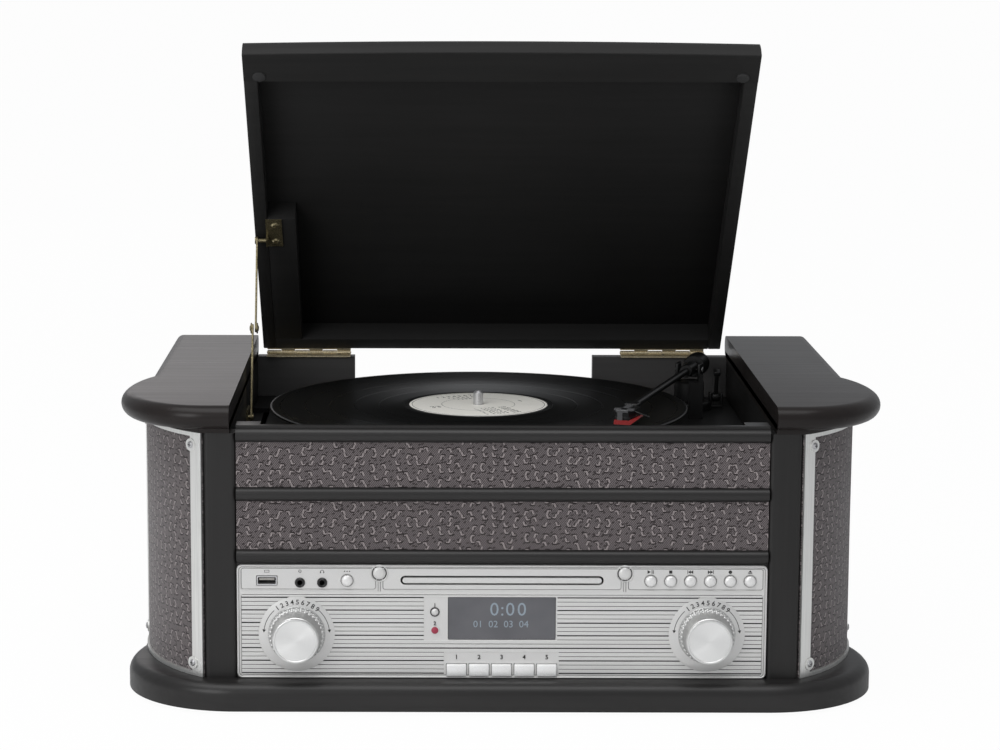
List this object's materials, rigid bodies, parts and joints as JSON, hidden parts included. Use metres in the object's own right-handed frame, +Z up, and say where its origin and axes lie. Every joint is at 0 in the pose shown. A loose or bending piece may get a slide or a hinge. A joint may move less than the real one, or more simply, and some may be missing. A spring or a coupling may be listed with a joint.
{
  "type": "stereo music centre",
  "caption": "Retro stereo music centre: black wood cabinet with cloth grilles, silver radio and disc panel, record deck under a hinged lid held open by a folding stay.",
  "frame": {"origin": "on the table, under the middle of the base board", "axes": "+X to the right seen from the front, +Y to the back, +Z up"},
  "size_m": [0.521, 0.3632, 0.444],
  "materials": {
    "black_wood": "black-stained board, satin lacquer",
    "cabinet_board": "black-stained board",
    "satin_black": "dark satin lacquer",
    "speaker_cloth": "grey-brown twill with a small woven pattern",
    "silver_trim": "satin",
    "screw_steel": "plated",
    "black_plastic": "moulded",
    "socket_plastic": "moulded",
    "bright_steel": "turned",
    "brass_bush": "turned",
    "vinyl": "pressed, grooved",
    "belt_rubber": "matt",
    "arm_paint": "satin black",
    "silver_plastic": "silver, satin",
    "silver_metal": "spun face",
    "display_window": "smoked window",
    "drive_metal": "pressed sheet",
    "circuit_board": "lacquered laminate",
    "core_iron": "laminated core",
    "speaker_black": "paper cone in a pressed basket",
    "foot_rubber": "matt",
    "hinge_brass": "plated, slightly dull"
  },
  "bodies": {
    "cabinet": {"base_board": "black_wood", "feet": "foot_rubber", "left_cabinet": "cabinet_board", "right_cabinet": "cabinet_board", "left_cap": "black_wood", "right_cap": "black_wood", "front_posts": "satin_black", "front_board": "cabinet_board", "front_rails": "satin_black", "cloth_panels": "speaker_cloth", "left_grille": "speaker_cloth", "right_grille": "speaker_cloth", "grille_trims": "silver_trim", "trim_screws": "screw_steel", "rear_panel": "black_plastic", "rear_sockets": "socket_plastic", "hinge_rail": "cabinet_board", "deck_plate": "black_plastic", "spindle_bush": "brass_bush", "drive_belt": "belt_rubber", "motor": "bright_steel", "arm_base": "black_plastic", "fascia": "silver_plastic", "display": "display_window", "front_sockets": "socket_plastic", "cd_drive": "drive_metal", "control_board": "circuit_board", "power_supply": "core_iron", "speakers": "speaker_black", "hinge_leaves": "hinge_brass", "stay_bracket": "hinge_brass"},
    "lid": {"lid_frame": "black_wood", "lid_panel": "black_wood", "lid_bumpers": "foot_rubber", "hinge_flaps": "hinge_brass", "stay_clip": "hinge_brass"},
    "stay_lower": {"stay_lower_arm": "hinge_brass"},
    "stay_upper": {"stay_upper_arm": "hinge_brass"},
    "turntable": {"platter": "black_plastic", "spindle": "bright_steel", "record": "vinyl"},
    "pulley": {"motor_pulley": "brass_bush"},
    "arm_swivel": {"arm_gimbal": "black_plastic"},
    "arm": {"tonearm": "arm_paint"},
    "cue": {"cue_lever": "black_plastic"},
    "volume": {"volume_knob": "silver_metal"},
    "tuning": {"tuning_knob": "silver_metal"},
    "tray": {"cd_tray": "black_plastic"},
    "function_press": {"function_button": "silver_plastic"},
    "play_press": {"play_button": "silver_plastic"},
    "stop_press": {"stop_button": "silver_plastic"},
    "back_press": {"back_button": "silver_plastic"},
    "skip_press": {"skip_button": "silver_plastic"},
    "record_press": {"record_button": "silver_plastic"},
    "eject_press": {"eject_button": "silver_plastic"},
    "key_1_press": {"key_1": "silver_plastic"},
    "key_2_press": {"key_2": "silver_plastic"},
    "key_3_press": {"key_3": "silver_plastic"},
    "key_4_press": {"key_4": "silver_plastic"},
    "key_5_press": {"key_5": "silver_plastic"}
  },
  "joints": [
    {"name": "lid_hinge", "type": "hinge", "parent": "cabinet", "child": "lid", "pos_m": [0, 0.1702, 0.1938], "axis": [1, 0, 0], "range_deg": [0, 45.56]},
    {"name": "stay_lower_pivot", "type": "hinge", "parent": "cabinet", "child": "stay_lower", "pos_m": [-0.1786, 0.024, 0.168], "axis": [1, 0, 0], "range_deg": [-73.7, 0]},
    {"name": "stay_upper_pivot", "type": "hinge", "parent": "lid", "child": "stay_upper", "pos_m": [-0.1764, 0.07082, 0.29229], "axis": [1, 0, 0], "range_deg": [0, 39.77]},
    {"name": "platter_spin", "type": "hinge", "parent": "cabinet", "child": "turntable", "pos_m": [-0.0136, 0.001, 0.161], "axis": [0, 0, 1], "continuous": true},
    {"name": "pulley_spin", "type": "hinge", "parent": "cabinet", "child": "pulley", "pos_m": [-0.07913, -0.04489, 0.161], "axis": [0, 0, 1], "continuous": true},
    {"name": "arm_swing", "type": "hinge", "parent": "cabinet", "child": "arm_swivel", "pos_m": [0.148, 0.105, 0.161], "axis": [0, 0, 1], "range_deg": [-21, 18.2]},
    {"name": "arm_lift", "type": "hinge", "parent": "arm_swivel", "child": "arm", "pos_m": [0.148, 0.105, 0.1914], "axis": [-0.95, 0.3123, 0], "range_deg": [0, 3.51]},
    {"name": "cue_turn", "type": "hinge", "parent": "cabinet", "child": "cue", "pos_m": [0.169, 0.112, 0.169], "axis": [1, 0, 0], "range_deg": [0, 50]},
    {"name": "volume_turn", "type": "hinge", "parent": "cabinet", "child": "volume", "pos_m": [-0.1378, -0.1575, 0.052], "axis": [0, -1, 0], "continuous": true},
    {"name": "tuning_turn", "type": "hinge", "parent": "cabinet", "child": "tuning", "pos_m": [0.1378, -0.1575, 0.052], "axis": [0, -1, 0], "continuous": true},
    {"name": "tray_slide", "type": "slide", "parent": "cabinet", "child": "tray", "axis": [0, -1, 0], "range_m": [0, 0.13]},
    {"name": "function_push", "type": "slide", "parent": "cabinet", "child": "function_press", "axis": [0, 1, 0], "range_m": [0, 0.0008], "stiffness_N_per_m": 600},
    {"name": "play_push", "type": "slide", "parent": "cabinet", "child": "play_press", "axis": [0, 1, 0], "range_m": [0, 0.0008], "stiffness_N_per_m": 600},
    {"name": "stop_push", "type": "slide", "parent": "cabinet", "child": "stop_press", "axis": [0, 1, 0], "range_m": [0, 0.0008], "stiffness_N_per_m": 600},
    {"name": "back_push", "type": "slide", "parent": "cabinet", "child": "back_press", "axis": [0, 1, 0], "range_m": [0, 0.0008], "stiffness_N_per_m": 600},
    {"name": "skip_push", "type": "slide", "parent": "cabinet", "child": "skip_press", "axis": [0, 1, 0], "range_m": [0, 0.0008], "stiffness_N_per_m": 600},
    {"name": "record_push", "type": "slide", "parent": "cabinet", "child": "record_press", "axis": [0, 1, 0], "range_m": [0, 0.0008], "stiffness_N_per_m": 600},
    {"name": "eject_push", "type": "slide", "parent": "cabinet", "child": "eject_press", "axis": [0, 1, 0], "range_m": [0, 0.0008], "stiffness_N_per_m": 600},
    {"name": "key_1_push", "type": "slide", "parent": "cabinet", "child": "key_1_press", "axis": [0, 1, 0], "range_m": [0, 0.0008], "stiffness_N_per_m": 600},
    {"name": "key_2_push", "type": "slide", "parent": "cabinet", "child": "key_2_press", "axis": [0, 1, 0], "range_m": [0, 0.0008], "stiffness_N_per_m": 600},
    {"name": "key_3_push", "type": "slide", "parent": "cabinet", "child": "key_3_press", "axis": [0, 1, 0], "range_m": [0, 0.0008], "stiffness_N_per_m": 600},
    {"name": "key_4_push", "type": "slide", "parent": "cabinet", "child": "key_4_press", "axis": [0, 1, 0], "range_m": [0, 0.0008], "stiffness_N_per_m": 600},
    {"name": "key_5_push", "type": "slide", "parent": "cabinet", "child": "key_5_press", "axis": [0, 1, 0], "range_m": [0, 0.0008], "stiffness_N_per_m": 600}
  ],
  "couplings": [
    {"joint": "stay_lower_pivot", "follows": "lid_hinge", "ratio": -1.6133},
    {"joint": "stay_upper_pivot", "follows": "lid_hinge", "ratio": 0.86858},
    {"joint": "pulley_spin", "follows": "platter_spin", "ratio": 15},
    {"joint": "arm_lift", "follows": "cue_turn", "ratio": 0.07}
  ]
}
